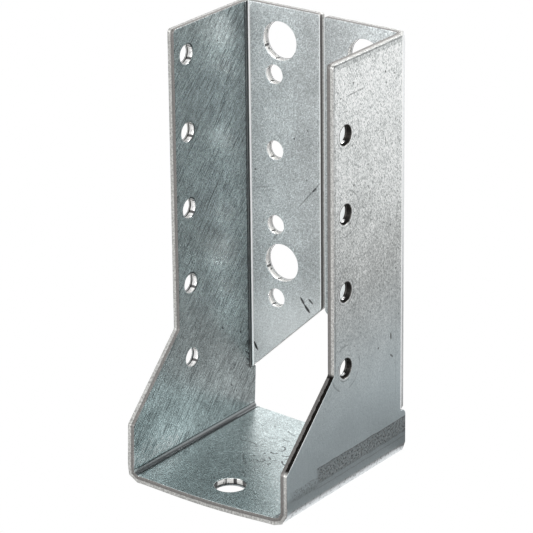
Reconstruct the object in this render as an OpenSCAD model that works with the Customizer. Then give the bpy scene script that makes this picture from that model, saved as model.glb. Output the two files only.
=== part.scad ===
// Joist hanger with inward flanges: a seat, two side plates and two back flanges, folded from one sheet.
// The joist lies on the seat along Y, and the flanges at the back are fixed to the beam behind them.
// Origin at the middle of the underside, +Z up, the open front towards -Y.

/* [Joist] */
// Clear width between the side plates
joist_w = 45; // [40:1:100]
// Height of the side plates above the top of the seat
joist_h = 110; // [104:1:200]

/* [Sheet] */
// Thickness of the sheet
sheet = 2; // [1.5:0.1:2.5]
// Inner radius of the bends between seat and side plates
seat_bend_r = 1.5; // [0.8:0.1:3]
// Inner radius of the bends between side plates and flanges
flange_bend_r = 1.2; // [0.8:0.1:2]

/* [Seat] */
// Depth from the front edge of the seat to the back of the flanges
seat_depth = 52; // [50:1:90]
// Distance from the back of the flanges to the rear edge of the seat
seat_setback = 0.8; // [0.4:0.1:1.5]
// Diameter of the bolt hole in the seat
seat_hole_d = 8; // [5:0.5:12]
// Distance from the front edge of the seat to its bolt hole
seat_hole_inset = 10; // [9:0.5:16]

/* [Side plates] */
// Depth of the upper side plates, up to the back of the flanges
plate_depth = 32; // [28:1:46]
// Height of the front lips at the ends of the seat
lip_h = 15; // [10:0.5:18]
// Height at which the sloping front edge meets the upright one
slope_top = 33.5; // [26:0.5:40]
// Distance from the front edge of a side plate to its row of nail holes
plate_nail_inset = 4.8; // [4.5:0.1:10]
// Height of the lowest nail hole in the left plate
left_nail_z = 25; // [22:0.5:36]
// Height of the lowest nail hole in the right plate
right_nail_z = 33.5; // [30:0.5:44]
// Radius on the outer corners of the side plates
plate_corner_r = 1; // [0.5:0.1:2]

/* [Flanges] */
// Gap between the free edges of the two flanges
flange_gap = 1; // [0.5:0.1:6]
// Height of the lower end of a flange at its free edge
flange_low_z = 34.5; // [30:0.5:37]
// Height of the lower end of a flange at the side plate
flange_root_z = 13.5; // [11:0.5:20]
// Radius on the lower corner of the free edge
flange_corner_r = 1.8; // [0.5:0.1:3]
// Height of the lowest nail hole in a flange
flange_nail_z = 34.5; // [32:0.5:36]
// Distance from the inner face of a side plate to the nail holes of its flange
flange_nail_inset = 8; // [7.5:0.1:11]
// Diameter of the bolt holes in the flanges
flange_bolt_d = 10; // [7:0.5:11]
// Distance from the inner face of a side plate to the bolt holes of its flange
flange_bolt_inset = 9.8; // [9:0.1:12]
// Height of the lower bolt hole in a flange
low_bolt_z = 44.5; // [43.5:0.5:46]
// Distance from the top edge down to the upper bolt hole in a flange
top_bolt_drop = 8.5; // [6.5:0.5:8.5]

/* [Nail holes] */
// Diameter of every nail hole
nail_d = 5; // [3:0.5:5]
// Distance between neighbouring nail holes in a row
nail_pitch = 20; // [14:0.5:22]
// Least distance from the top edge down to the highest nail hole of a row
nail_margin = 6.5; // [5:0.5:7]

/* [Hidden] */
$fn = 96;
arc_steps = 10;
// Overrun of every cut past the sheet that it goes through
over = 1;

body_w = joist_w + 2 * sheet;
body_h = joist_h + sheet;
inner_x = joist_w / 2;
outer_x = body_w / 2;
front_y = -seat_depth / 2;
back_y = seat_depth / 2;
plate_front_y = back_y - plate_depth;
seat_back_y = back_y - seat_setback;
// Outer radii of the bends, and where the flange bends leave the plane of the side plates
seat_bend_outer_r = seat_bend_r + sheet;
flange_bend_outer_r = flange_bend_r + sheet;
bend_start_y = back_y - flange_bend_outer_r;
bend_reach = seat_back_y - bend_start_y;
flange_edge_x = flange_gap / 2;
flange_mid_y = back_y - sheet / 2;
plate_mid_x = inner_x + sheet / 2;
plate_nail_y = plate_front_y + plate_nail_inset;
// Highest nail holes allowed in the plates, and in the flanges below their upper bolt holes
plate_nail_top = body_h - nail_margin;
flange_nail_top = body_h - top_bolt_drop - flange_bolt_d / 2 - nail_d / 2 - sheet / 2;

// Arc that rounds the corner at b, between a and c
function unit(v) = v / norm(v);
function turned(v, angle) = [
    v.x * cos(angle) - v.y * sin(angle),
    v.x * sin(angle) + v.y * cos(angle)
];
function corner_arc(a, b, c, r) =
    let (
        u = unit(a - b),
        v = unit(c - b),
        half = acos(u * v) / 2,
        centre = b + unit(u + v) * r / sin(half),
        start = b + u * r / tan(half) - centre,
        finish = b + v * r / tan(half) - centre,
        sweep = sign(cross(start, finish)) * (180 - 2 * half)
    )
    [for (i = [0 : arc_steps]) centre + turned(start, sweep * i / arc_steps)];

// Outline through the points, with each corner rounded to its radius
function rounded(points, radii) =
    let (n = len(points))
    [for (i = [0 : n - 1])
        each radii[i] > 0
            ? corner_arc(points[(i + n - 1) % n], points[i], points[(i + 1) % n], radii[i])
            : [points[i]]];

// A quarter ring in the first quadrant: the section of one bend
module bend_section(inner_r) {
    outer_r = inner_r + sheet;
    intersection() {
        difference() {
            circle(r = outer_r);
            circle(r = inner_r);
        }
        square(outer_r);
    }
}

// Half of the section across the joist: half the seat, one bend and one side plate
module channel_half_section() {
    translate([0, 0]) square([outer_x - seat_bend_outer_r, sheet]);
    translate([outer_x - seat_bend_outer_r, seat_bend_outer_r])
        mirror([0, 1]) bend_section(seat_bend_r);
    translate([inner_x, seat_bend_outer_r]) square([sheet, body_h - seat_bend_outer_r]);
}

// Outline of a side plate seen from the side, in Y and Z
module side_outline() {
    polygon(rounded(
        [
            [front_y, 0],
            [seat_back_y, 0],
            [seat_back_y, flange_root_z],
            [bend_start_y, flange_root_z],
            [bend_start_y, body_h],
            [plate_front_y, body_h],
            [plate_front_y, slope_top],
            [front_y, lip_h]
        ],
        [0, 0, bend_reach, 0, 0, plate_corner_r, plate_corner_r, plate_corner_r]
    ));
}

// Half of the section through a flange, seen from above: the bend and the flat flange
module flange_half_section() {
    translate([outer_x - flange_bend_outer_r, bend_start_y]) bend_section(flange_bend_r);
    translate([flange_edge_x, back_y - sheet])
        square([outer_x - flange_bend_outer_r - flange_edge_x, sheet]);
}

// Outline of a flange seen from the front, in X and Z, with its slanted lower end
module flange_outline() {
    polygon(rounded(
        [
            [flange_edge_x, body_h],
            [flange_edge_x, flange_low_z],
            [inner_x, flange_root_z],
            [outer_x, flange_root_z],
            [outer_x, body_h]
        ],
        [0, flange_corner_r, 0, 0, 0]
    ));
}

// Half of the folded sheet, on the +X side
module folded_half() {
    intersection() {
        rotate([90, 0, 0])
            translate([0, 0, -seat_back_y])
            linear_extrude(seat_depth - seat_setback) channel_half_section();
        rotate([90, 0, 90]) linear_extrude(outer_x) side_outline();
    }
    intersection() {
        linear_extrude(body_h) flange_half_section();
        rotate([90, 0, 0])
            translate([0, 0, -back_y])
            linear_extrude(flange_bend_outer_r) flange_outline();
    }
}

// A row of nail holes going up from height low, as many as fit below height top
module nail_row(low, top) {
    for (z = [low : nail_pitch : top]) translate([0, 0, z]) children();
}

// A hole through one thickness of sheet, along Z
module sheet_hole(d) {
    cylinder(d = d, h = sheet + 2 * over, center = true);
}

module plate_holes() {
    translate([-plate_mid_x, plate_nail_y, 0])
        nail_row(left_nail_z, plate_nail_top) rotate([0, 90, 0]) sheet_hole(nail_d);
    translate([plate_mid_x, plate_nail_y, 0])
        nail_row(right_nail_z, plate_nail_top) rotate([0, 90, 0]) sheet_hole(nail_d);
}

module flange_holes() {
    for (side = [-1, 1]) {
        translate([side * (inner_x - flange_nail_inset), flange_mid_y, 0])
            nail_row(flange_nail_z, flange_nail_top) rotate([90, 0, 0]) sheet_hole(nail_d);
        for (z = [low_bolt_z, body_h - top_bolt_drop])
            translate([side * (inner_x - flange_bolt_inset), flange_mid_y, z])
                rotate([90, 0, 0]) sheet_hole(flange_bolt_d);
    }
}

module seat_hole() {
    translate([0, front_y + seat_hole_inset, sheet / 2]) sheet_hole(seat_hole_d);
}

module joist_hanger() {
    color([0.66, 0.69, 0.70])
    difference() {
        union() {
            folded_half();
            mirror([1, 0, 0]) folded_half();
        }
        plate_holes();
        flange_holes();
        seat_hole();
    }
}

joist_hanger();
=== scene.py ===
import math

import bpy
import numpy as np
from mathutils import Matrix, Vector
from mathutils.geometry import delaunay_2d_cdt


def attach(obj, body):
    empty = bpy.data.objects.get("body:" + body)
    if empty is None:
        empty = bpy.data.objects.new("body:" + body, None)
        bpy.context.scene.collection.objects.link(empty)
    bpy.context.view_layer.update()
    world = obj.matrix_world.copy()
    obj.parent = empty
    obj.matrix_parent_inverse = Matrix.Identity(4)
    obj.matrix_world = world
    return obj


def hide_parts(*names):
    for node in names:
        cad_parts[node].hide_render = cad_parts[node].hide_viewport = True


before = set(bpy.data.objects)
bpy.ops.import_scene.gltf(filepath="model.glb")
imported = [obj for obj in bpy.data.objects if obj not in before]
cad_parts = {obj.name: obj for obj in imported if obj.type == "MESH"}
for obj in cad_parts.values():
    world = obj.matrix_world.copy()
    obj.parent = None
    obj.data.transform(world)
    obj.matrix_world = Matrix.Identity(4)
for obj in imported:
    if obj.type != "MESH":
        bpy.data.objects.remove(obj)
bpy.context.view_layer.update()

MM = 0.001
scene = bpy.context.scene

# Camera: angles in degrees, lengths in mm, picture sizes in pixels of the 533 pixel frame
CAMERA_TURN, CAMERA_RISE, CAMERA_ROLL = 36.24, 21.657, -0.62
CAMERA_PAN, CAMERA_LIFT, CAMERA_DISTANCE = -0.128, 5.361, 801.187
FOCAL_PIXELS = 3277.0
FRAME_PIXELS = 533
SENSOR = 36.0
CAMERA_TARGET = (0.0, 0.0, 60.0)

# Sheet and folds. The left seat bend of this hanger is tighter than the right one.
SHEET = 2.0
SEAT_BEND_R = {-1: 1.0, 1: 2.0}
FLANGE_BEND_R = 0.8
# The seat sags between its bends, by this much in the middle
SEAT_SAG = 0.72
SEAT_SAG_REACH = 20.5

# Outside sizes. The right plate is trimmed a little lower than the left one.
HALF_W = 24.5
TOP_Z = {-1: 112.4, 1: 112.0}
FRONT_Y = -26.0
BACK_Y = 26.0
SEAT_BACK_Y = 25.2
PLATE_FRONT_Y = -6.0
LIP_Z = {-1: 15.0, 1: 14.0}
SLOPE_TOP_Z = {-1: 34.0, 1: 33.0}
CORNER_R = 1.0
# How far the front of each lip is drawn back, and the rear edge of each plate just below its flange
LIP_Y = {-1: FRONT_Y + 0.7, 1: FRONT_Y}
TAB_Y = {-1: 25.8, 1: SEAT_BACK_Y}
TAB_R = {-1: 0.5, 1: 1.7}

# Flanges
FREE_EDGE_X = 0.5
FREE_TOP_R = 0.6
FREE_LOW_R = 1.8
FLANGE_LOW_Z = 34.5
FLANGE_ROOT_Z = 13.5
# Half the width of the slit that frees each flange from the plate below it
SLIT = 0.16

# Holes
NAIL_R = 2.5
BOLT_R = 5.0
SEAT_HOLE_R = 4.0
PITCH = 20.0
NAIL_Y = -1.2
LEFT_NAILS_Z = [25.0 + PITCH * i for i in range(5)]
RIGHT_NAILS_Z = [33.5 + PITCH * i for i in range(4)]
FLANGE_NAILS_Z = [34.5 + PITCH * i for i in range(4)]
FLANGE_NAIL_X = 14.5
BOLTS_Z = [44.5, 103.5]
BOLT_X = 12.7
SEAT_HOLE_Y = -16.0

# Longest side of the mesh's faces on the flat parts, and on the bends
STEP = 2.2
BEND_STEP = 0.3
# How far from a bend the flat part gets its first row of points, so that it stays flat in the light
HOLD = 0.15

# Profiles of the cut walls, from the inner face to the outer one: depth, and how far the wall stands out
SHEARED = [(0.0, -0.2), (0.015, -0.1), (0.06, -0.025), (0.16, 0.0), (0.7, 0.02), (0.8, 0.0), (1.3, -0.02),
           (1.86, 0.0), (1.95, -0.03), (1.99, -0.1), (2.0, -0.2)]
PUNCHED = [(0.0, -0.2), (0.02, -0.11), (0.07, -0.04), (0.15, 0.0), (0.3, 0.0), (0.86, 0.0), (0.94, -0.06),
           (1.4, -0.16), (1.94, -0.28), (1.99, -0.32), (2.0, -0.42)]

# Finishes, in the order of their numbers on the faces of the blank
INSIDE, OUTSIDE, FLANGE_FRONT, FOLD, CUT_EDGE, HOLE_WALL = range(6)

FLANGE_BEND_Y = BACK_Y - FLANGE_BEND_R - SHEET
FLANGE_BEND_LENGTH = math.pi / 2 * (FLANGE_BEND_R + SHEET / 2)
FLANGE_START = FLANGE_BEND_Y + FLANGE_BEND_LENGTH
FLANGE_START_X = HALF_W - FLANGE_BEND_R - SHEET


# Camera

def stand_camera():
    """The camera nearest to the photo's that has no lens shift, so that it also works from other sides."""
    turn, rise, roll = (math.radians(v) for v in (CAMERA_TURN, CAMERA_RISE, CAMERA_ROLL))
    back = np.array([math.sin(turn) * math.cos(rise), -math.cos(turn) * math.cos(rise), math.sin(rise)])
    right = np.cross([0, 0, 1], back)
    right /= np.linalg.norm(right)
    up = np.cross(back, right)
    side = math.cos(roll) * right + math.sin(roll) * up
    up = -math.sin(roll) * right + math.cos(roll) * up
    place = np.array(CAMERA_TARGET) - (side * CAMERA_PAN + up * CAMERA_LIFT - back * CAMERA_DISTANCE)
    data = bpy.data.cameras.new("camera")
    data.sensor_width = SENSOR
    data.lens = FOCAL_PIXELS / FRAME_PIXELS * SENSOR
    data.clip_start = 0.01
    camera = bpy.data.objects.new("camera", data)
    scene.collection.objects.link(camera)
    matrix = Matrix.Identity(4)
    for row in range(3):
        for column, axis in enumerate((side, up, back)):
            matrix[row][column] = axis[row]
        matrix[row][3] = place[row] * MM
    camera.matrix_world = matrix
    scene.camera = camera


stand_camera()


# Small helpers for node trees

def put(tree, kind, feeds=None, **settings):
    """Adds a node, sets it up, and feeds its sockets with values or with other nodes' outputs."""
    node = tree.nodes.new(kind)
    for key, value in settings.items():
        setattr(node, key, value)
    for key, value in (feeds or {}).items():
        if isinstance(value, bpy.types.NodeSocket):
            tree.links.new(value, node.inputs[key])
        else:
            node.inputs[key].default_value = value
    return node


def calc(tree, operation, *values):
    """One step of arithmetic on values or outputs."""
    return put(tree, "ShaderNodeMath", dict(enumerate(values)), operation=operation).outputs[0]


def new_group(name, kind, takes, gives):
    """An empty node group with these sockets. takes maps names to a default, gives lists names."""
    group = bpy.data.node_groups.new(name, kind)
    for label, default in takes.items():
        if default == "geometry":
            group.interface.new_socket(label, in_out="INPUT", socket_type="NodeSocketGeometry")
        elif isinstance(default, tuple):
            group.interface.new_socket(label, in_out="INPUT", socket_type="NodeSocketVector").default_value = default
        else:
            group.interface.new_socket(label, in_out="INPUT", socket_type="NodeSocketFloat").default_value = default
    for label, socket in gives.items():
        group.interface.new_socket(label, in_out="OUTPUT", socket_type=socket)
    return group, put(group, "NodeGroupInput").outputs, put(group, "NodeGroupOutput").inputs


# Flat blank

def seat_flat(side):
    """Half the width of the flat part of the seat."""
    return HALF_W - SHEET - SEAT_BEND_R[side]


def plate_start(side):
    """Place across the blank where a side plate starts to be flat."""
    return seat_flat(side) + math.pi / 2 * (SEAT_BEND_R[side] + SHEET / 2)


def across_at(side, z):
    """Place across the blank of a height on a side plate, without its sign."""
    return plate_start(side) + z - SEAT_BEND_R[side] - SHEET


def along_at(x):
    """Place along the blank of a distance from the middle plane on a flange."""
    if x <= FLANGE_START_X:
        return FLANGE_START + FLANGE_START_X - x
    reach = (x - FLANGE_START_X) / (FLANGE_BEND_R + SHEET / 2)
    return FLANGE_BEND_Y + FLANGE_BEND_LENGTH * math.acos(min(reach, 1.0)) / (math.pi / 2)


def arc_corner(before, corner, after, radius, steps=6):
    """Points of an arc that rounds a corner of the blank's outline."""
    p, b, n = (np.array(q, float) for q in (before, corner, after))
    u = (p - b) / np.linalg.norm(p - b)
    v = (n - b) / np.linalg.norm(n - b)
    half = math.acos(np.clip(u @ v, -1, 1)) / 2
    middle = b + (u + v) / np.linalg.norm(u + v) * radius / math.sin(half)
    start = b + u * radius / math.tan(half) - middle
    end = b + v * radius / math.tan(half) - middle
    a0 = math.atan2(start[1], start[0])
    sweep = (math.atan2(end[1], end[0]) - a0 + math.pi) % (2 * math.pi) - math.pi
    turns = [a0 + sweep * i / steps for i in range(steps + 1)]
    return [tuple(middle + radius * np.array([math.cos(t), math.sin(t)])) for t in turns]


def half_outline(side):
    """Outline of half of the blank, from the middle of the seat's front edge round to its rear edge."""
    lip = (across_at(side, LIP_Z[side]), LIP_Y[side])
    slope = (across_at(side, SLOPE_TOP_Z[side]), PLATE_FRONT_Y)
    top = (across_at(side, TOP_Z[side]), PLATE_FRONT_Y)
    free_top = (across_at(side, TOP_Z[side]), along_at(FREE_EDGE_X))
    free_low = (across_at(side, FLANGE_LOW_Z), along_at(FREE_EDGE_X))
    root = across_at(side, FLANGE_ROOT_Z)
    fall = (FLANGE_LOW_Z - FLANGE_ROOT_Z) / (HALF_W - SHEET - FREE_EDGE_X)
    slant = []
    for x in [*np.linspace(FLANGE_START_X, HALF_W - SHEET, 5), HALF_W - SHEET + 0.55]:
        z = max(FLANGE_LOW_Z - fall * (x - FREE_EDGE_X), FLANGE_ROOT_Z)
        slant.append((across_at(side, z + SLIT), along_at(x)))
    slit_end = [
        (root + SLIT * math.sin(t), FLANGE_BEND_Y - SLIT * math.cos(t))
        for t in np.linspace(math.pi / 2, -math.pi / 2, 7)
    ]
    tab = arc_corner(slit_end[-1], (root - SLIT, TAB_Y[side]), (plate_start(side), SEAT_BACK_Y), TAB_R[side])
    tab.append((plate_start(side), SEAT_BACK_Y))
    points = [(0.0, FRONT_Y), (seat_flat(side), FRONT_Y)]
    points += arc_corner(points[-1], lip, slope, CORNER_R)
    points += arc_corner(lip, slope, top, CORNER_R)
    points += arc_corner(slope, top, free_top, CORNER_R)
    points += arc_corner(top, free_top, free_low, FREE_TOP_R, 4)
    points += arc_corner(free_top, free_low, slant[0], FREE_LOW_R, 8)
    return points + slant + slit_end + tab + [(0.0, SEAT_BACK_Y)]


def dense(points, longest=STEP):
    """The same closed outline with points no further apart than longest."""
    out = []
    for p, q in zip(points, points[1:] + points[:1]):
        n = max(1, math.ceil(math.dist(p, q) / longest))
        out += [(p[0] + (q[0] - p[0]) * i / n, p[1] + (q[1] - p[1]) * i / n) for i in range(n)]
    return out


def shifted(loop, outwards):
    """A closed outline moved off the sheet by a distance, with mitred corners. The sheet lies on its left."""
    p = np.array(loop)
    before = p - np.roll(p, 1, axis=0)
    after = np.roll(p, -1, axis=0) - p
    before /= np.linalg.norm(before, axis=1)[:, None]
    after /= np.linalg.norm(after, axis=1)[:, None]
    n0 = np.stack([before[:, 1], -before[:, 0]], axis=1)
    n1 = np.stack([after[:, 1], -after[:, 0]], axis=1)
    mitre = n0 + n1
    mitre /= np.maximum(np.sum(mitre * n0, axis=1), 0.35)[:, None]
    return p + mitre * outwards


def hole_centres():
    """Every hole of the blank: place across, place along, radius."""
    holes = [(0.0, SEAT_HOLE_Y, SEAT_HOLE_R)]
    holes += [(-across_at(-1, z), NAIL_Y, NAIL_R) for z in LEFT_NAILS_Z]
    holes += [(across_at(1, z), NAIL_Y, NAIL_R) for z in RIGHT_NAILS_Z]
    for side in (-1, 1):
        holes += [(side * across_at(side, z), along_at(FLANGE_NAIL_X), NAIL_R) for z in FLANGE_NAILS_Z]
        holes += [(side * across_at(side, z), along_at(BOLT_X), BOLT_R) for z in BOLTS_Z]
    return holes


def blank_loops():
    """The outline and the holes of the blank as closed loops with the sheet on their left."""
    left = [(-a, b) for a, b in reversed(half_outline(-1))]
    outline = dense(half_outline(1) + left[1:-1])
    loops = [np.array(outline)]
    for a, b, r in hole_centres():
        n = 48 if r < 3 else 72
        turns = [-2 * math.pi * i / n for i in range(n)]
        loops.append(np.array([(a + r * math.cos(t), b + r * math.sin(t)) for t in turns]))
    return loops


def stations(low, high, longest):
    return list(np.linspace(low, high, max(1, math.ceil((high - low) / longest - 1e-9)) + 1))


def inside(points, loop):
    x, y = points[:, 0], points[:, 1]
    hit = np.zeros(len(points), bool)
    for (x0, y0), (x1, y1) in zip(loop, np.roll(loop, -1, axis=0)):
        if y1 != y0:
            hit ^= ((y0 > y) != (y1 > y)) & (x < (x1 - x0) * (y - y0) / (y1 - y0) + x0)
    return hit


def distance_to(points, edges):
    best = np.full(len(points), 1e9)
    for p, q in edges:
        d = q - p
        t = np.clip((points - p) @ d / max(d @ d, 1e-12), 0, 1)
        best = np.minimum(best, np.linalg.norm(points - (p + t[:, None] * d), axis=1))
    return best


def inner_points(loops):
    """A grid of points over the blank that follows its bends and keeps clear of its edges."""
    across = []
    for side in (-1, 1):
        flat, start = seat_flat(side), plate_start(side)
        half = stations(0, flat - HOLD, STEP) + stations(flat, start, BEND_STEP)
        half += stations(start + HOLD, across_at(side, TOP_Z[side]), STEP)
        across += [side * a for a in half]
    across = sorted({round(a, 6) for a in across})
    along = stations(FRONT_Y, FLANGE_BEND_Y - HOLD, STEP) + stations(FLANGE_BEND_Y, FLANGE_START, BEND_STEP)
    along += stations(FLANGE_START + HOLD, along_at(FREE_EDGE_X), STEP)
    grid = np.array([(a, b) for a in across for b in along])
    keep = inside(grid, loops[0])
    for loop in loops[1:]:
        keep &= ~inside(grid, loop)
    edges = np.concatenate([np.stack([loop, np.roll(loop, -1, axis=0)], axis=1) for loop in loops])
    return grid[keep & (distance_to(grid, edges) > 0.25)]


def finish_at(a, b, outer):
    """The finish of a face of the blank with its middle at (a, b)."""
    side = 1 if a > 0 else -1
    a = abs(a)
    above_slit = a > across_at(side, FLANGE_ROOT_Z)
    if seat_flat(side) < a < plate_start(side):
        return FOLD
    if above_slit and FLANGE_BEND_Y < b < FLANGE_START:
        return FOLD
    if outer:
        return OUTSIDE
    return FLANGE_FRONT if above_slit and b > FLANGE_START else INSIDE


def blank_mesh():
    """The flat blank with its cut walls, as one closed mesh: across, along and depth on x, y and z."""
    loops = blank_loops()
    profiles = [SHEARED] + [PUNCHED] * (len(loops) - 1)
    rims = [shifted(loop, profile[0][1]) for loop, profile in zip(loops, profiles)]
    flat = np.concatenate(rims + [inner_points(rims)])
    starts = np.cumsum([0] + [len(r) for r in rims])
    edges = [(int(s + i), int(s + (i + 1) % len(r))) for s, r in zip(starts, rims) for i in range(len(r))]
    verts, _, faces, sources, _, _ = delaunay_2d_cdt([Vector(p) for p in flat], edges, [], 0, 1e-7)
    where = np.full(len(flat), -1)
    for new, old in enumerate(sources):
        where[old] = new
    flat = np.array([tuple(v) for v in verts])
    middle = np.array([np.mean(flat[list(f)], axis=0) for f in faces])
    keep = inside(middle, rims[0])
    for rim in rims[1:]:
        keep &= ~inside(middle, rim)
    # Beside a rim, the side on which a face lies decides, which also holds for the thinnest slivers
    onward = {(int(where[a]), int(where[b])) for a, b in edges}
    for number, f in enumerate(faces):
        around = set(zip(f, f[1:] + f[:1]))
        if around & onward:
            keep[number] = True
        elif {(b, a) for a, b in around} & onward:
            keep[number] = False
    count = len(flat)
    points = [np.c_[flat, np.zeros(count)], np.c_[flat, np.full(count, SHEET)]]
    polygons, finish, runs = [], [], []
    rim_points = set()
    for f, m in zip((f for f, k in zip(faces, keep) if k), middle[keep]):
        f = list(f)
        (ax, ay), (bx, by), (cx, cy) = flat[f[:3]]
        if (bx - ax) * (cy - ay) - (by - ay) * (cx - ax) < -1e-9:
            f.reverse()
        polygons += [f, [i + count for i in reversed(f)]]
        finish += [finish_at(*m, False), finish_at(*m, True)]
        runs += [None, None]
    total = 2 * count
    for k, (loop, profile) in enumerate(zip(loops, profiles)):
        n = len(loop)
        lengths = np.linalg.norm(np.roll(loop, -1, axis=0) - loop, axis=1)
        run = np.concatenate([[0], np.cumsum(lengths)])
        rows = [[int(where[starts[k] + i]) for i in range(n)]]
        for depth, out in profile[1:-1]:
            points.append(np.c_[shifted(loop, out), np.full(n, depth)])
            rows.append([total + i for i in range(n)])
            total += n
        rows.append([int(where[starts[k] + i]) + count for i in range(n)])
        rim_points.update(rows[0] + rows[-1])
        for j, (row, deeper) in enumerate(zip(rows, rows[1:])):
            d0, d1 = profile[j][0], profile[j + 1][0]
            wall = 1 < j < len(rows) - 3
            for i in range(n):
                i1 = (i + 1) % n
                polygons.append([row[i], deeper[i], deeper[i1], row[i1]])
                runs.append([(run[i], d0), (run[i], d1), (run[i + 1], d1), (run[i + 1], d0)])
                if wall:
                    finish.append(HOLE_WALL if k else CUT_EDGE)
                else:
                    finish.append(finish_at(*loop[i], j > 2))
    mesh = bpy.data.meshes.new("flat_blank")
    mesh.from_pydata((np.concatenate(points) * MM).tolist(), [], polygons)
    mesh.shade_smooth()
    ends = np.array([e.vertices[:] for e in mesh.edges])
    on_rim = np.isin(ends, list(rim_points)).all(axis=1)
    mesh.attributes.new("sharp_edge", "BOOLEAN", "EDGE").data.foreach_set("value", on_rim)
    mark = mesh.attributes.new("finish", "INT", "FACE")
    mark.data.foreach_set("value", finish)
    lay_out(mesh, runs)
    return mesh


def lay_out(mesh, runs):
    """Two maps: the flat blank itself, and on cut walls the run along the edge and the depth, all in mm / 300."""
    place = np.array([v.co[:] for v in mesh.vertices]) / MM
    corners = np.array([loop.vertex_index for loop in mesh.loops])
    blank = np.stack([place[corners, 0] + 150, place[corners, 1] + 150], axis=1) / 300
    mesh.uv_layers.new(name="blank").data.foreach_set("uv", blank.astype(np.float32).ravel())
    cut = np.concatenate([np.array(r if r else [(0, 0)] * p.loop_total, float) for r, p in zip(runs, mesh.polygons)])
    mesh.uv_layers.new(name="cut").data.foreach_set("uv", (cut / 300).astype(np.float32).ravel())


# Folding

FOLD_SIZES = {
    "Sheet": SHEET * MM, "Half width": HALF_W * MM, "Left bend": SEAT_BEND_R[-1] * MM,
    "Right bend": SEAT_BEND_R[1] * MM, "Flange bend": FLANGE_BEND_R * MM, "Flange fold": FLANGE_BEND_Y * MM,
    "Slit height": FLANGE_ROOT_Z * MM, "Seat sag": SEAT_SAG * MM, "Sag reach": SEAT_SAG_REACH * MM,
}


def folding_group():
    """Takes anything laid out on the flat blank to its place on the folded hanger."""
    takes = {"Flat": "geometry", **FOLD_SIZES}
    group, given, result = new_group("fold the blank", "GeometryNodeTree", takes, {"Folded": "NodeSocketGeometry"})

    def c(operation, *values):
        return calc(group, operation, *values)

    half_turn = math.pi / 2
    place = put(group, "ShaderNodeSeparateXYZ", {0: put(group, "GeometryNodeInputPosition").outputs[0]}).outputs
    across, along, depth = place[0], place[1], place[2]
    sheet, radius_f, fold = given["Sheet"], given["Flange bend"], given["Flange fold"]
    side = c("SIGN", across)
    a = c("ABSOLUTE", across)
    is_right = c("GREATER_THAN", across, 0.0)
    radius = c("ADD", given["Left bend"], c("MULTIPLY", is_right, c("SUBTRACT", given["Right bend"], given["Left bend"])))
    wall = c("SUBTRACT", given["Half width"], sheet)
    flat = c("SUBTRACT", wall, radius)
    arc = c("MULTIPLY", half_turn, c("MULTIPLY_ADD", sheet, 0.5, radius))
    past_seat = c("SUBTRACT", a, flat)
    roll = c("MULTIPLY", half_turn, c("MINIMUM", c("MAXIMUM", c("DIVIDE", past_seat, arc), 0.0), 1.0))
    past_arc = c("MAXIMUM", c("SUBTRACT", past_seat, arc), 0.0)
    ring = c("ADD", radius, depth)
    rise = c("ADD", c("ADD", radius, sheet), past_arc)
    x_plate = c("MULTIPLY_ADD", ring, c("SINE", roll), c("MINIMUM", a, flat))
    z = c("SUBTRACT", rise, c("MULTIPLY", ring, c("COSINE", roll)))
    part = c("DIVIDE", a, given["Sag reach"])
    sag = c("POWER", c("MAXIMUM", c("SUBTRACT", 1.0, c("MULTIPLY", part, part)), 0.0), 1.4)
    z = c("SUBTRACT", z, c("MULTIPLY", sag, given["Seat sag"]))
    arc_f = c("MULTIPLY", half_turn, c("MULTIPLY_ADD", sheet, 0.5, radius_f))
    past_fold = c("SUBTRACT", along, fold)
    turn = c("MULTIPLY", half_turn, c("MINIMUM", c("MAXIMUM", c("DIVIDE", past_fold, arc_f), 0.0), 1.0))
    ring_f = c("ADD", radius_f, depth)
    x_flange = c("SUBTRACT", c("MULTIPLY_ADD", ring_f, c("COSINE", turn), c("SUBTRACT", wall, radius_f)),
                 c("MAXIMUM", c("SUBTRACT", past_fold, arc_f), 0.0))
    y_flange = c("MULTIPLY_ADD", ring_f, c("SINE", turn), c("MINIMUM", along, fold))
    bent = c("MULTIPLY", c("GREATER_THAN", rise, given["Slit height"]), c("GREATER_THAN", past_fold, 0.0))
    x = c("MULTIPLY", side, c("MULTIPLY_ADD", bent, c("SUBTRACT", x_flange, x_plate), x_plate))
    y = c("MULTIPLY_ADD", bent, c("SUBTRACT", y_flange, along), along)
    there = put(group, "ShaderNodeCombineXYZ", {0: x, 1: y, 2: z}).outputs[0]
    moved = put(group, "GeometryNodeSetPosition", {"Geometry": given["Flat"], "Position": there})
    group.links.new(moved.outputs[0], result[0])
    return group


def folded_piece(name, mesh, tree, sizes):
    """A plain mesh object made by a node tree from a mesh on the flat blank."""
    start = bpy.data.objects.new(name, mesh)
    scene.collection.objects.link(start)
    maker = start.modifiers.new("folding", "NODES")
    maker.node_group = tree
    for item in tree.interface.items_tree:
        if item.item_type == "SOCKET" and item.in_out == "INPUT" and item.name in sizes:
            maker[item.identifier] = sizes[item.name]
    ready = start.evaluated_get(bpy.context.evaluated_depsgraph_get())
    result = bpy.data.meshes.new_from_object(ready)
    result.name = name
    start.modifiers.clear()
    start.data = result
    bpy.data.meshes.remove(mesh)
    return start


fold_blank = folding_group()


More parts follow.
